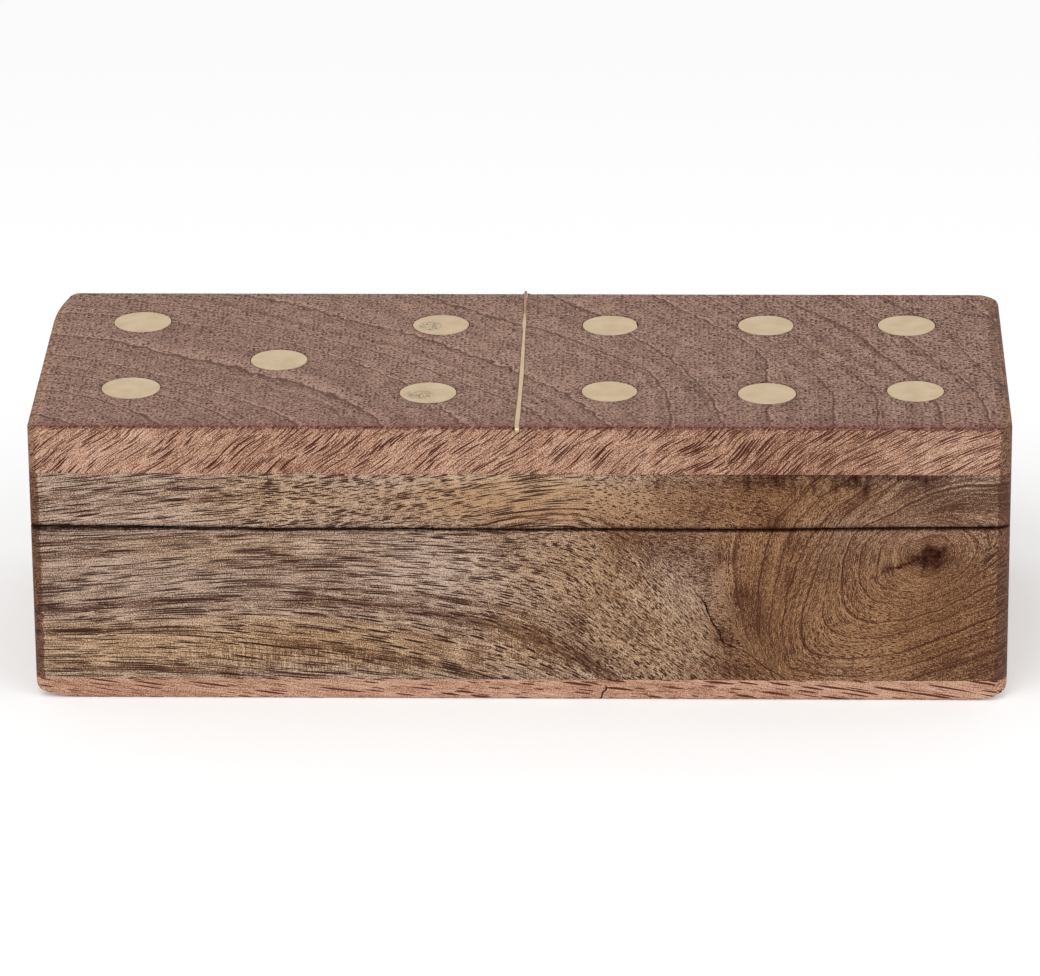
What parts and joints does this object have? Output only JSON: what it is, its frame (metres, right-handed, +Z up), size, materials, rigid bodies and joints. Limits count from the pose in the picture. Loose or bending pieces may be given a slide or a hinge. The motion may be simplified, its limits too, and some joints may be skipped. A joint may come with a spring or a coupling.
{
  "type": "domino storage box",
  "caption": "Long wooden box shaped like a domino tile, with brass pips and a brass dividing line let into a hinged lid.",
  "frame": {"origin": "middle of the underside", "axes": "+X along the box towards its six-pip half, +Y from the front to the hinged back, +Z up"},
  "size_m": [0.18, 0.07, 0.0543],
  "materials": {
    "wall_wood": "planed and oiled, open pores, satin",
    "end_wood": "planed and oiled, open pores, satin",
    "top_wood": "planed and oiled, fine pores, satin",
    "bottom_wood": "planed, pale, satin",
    "inlay_brass": "sanded flush, dull",
    "hinge_brass": "pressed, bright",
    "filler": "dark glue and sawdust, sanded flush"
  },
  "bodies": {
    "base": {"bottom_board": "bottom_wood", "front_wall": "wall_wood", "back_wall": "wall_wood", "left_end_wall": "end_wood", "right_end_wall": "end_wood", "left_hinge_base_leaf": "hinge_brass", "left_hinge_pin": "hinge_brass", "left_hinge_base_screws": "hinge_brass", "right_hinge_base_leaf": "hinge_brass", "right_hinge_pin": "hinge_brass", "right_hinge_base_screws": "hinge_brass"},
    "lid": {"lid_top_board": "top_wood", "lid_front_strip": "wall_wood", "lid_back_strip": "wall_wood", "lid_left_strip": "end_wood", "lid_right_strip": "end_wood", "brass_line": "inlay_brass", "line_bed": "filler", "five_pip_1": "inlay_brass", "five_pip_2": "inlay_brass", "five_pip_3": "inlay_brass", "five_pip_4": "inlay_brass", "five_pip_5": "inlay_brass", "six_pip_1": "inlay_brass", "six_pip_2": "inlay_brass", "six_pip_3": "inlay_brass", "six_pip_4": "inlay_brass", "six_pip_5": "inlay_brass", "six_pip_6": "inlay_brass", "left_hinge_lid_leaf": "hinge_brass", "left_hinge_lid_screws": "hinge_brass", "right_hinge_lid_leaf": "hinge_brass", "right_hinge_lid_screws": "hinge_brass"}
  },
  "joints": [
    {"name": "lid_hinge", "type": "hinge", "parent": "base", "child": "lid", "pos_m": [0, 0.0332, 0.0344], "axis": [-1, 0, 0], "range_deg": [0, 104]}
  ]
}
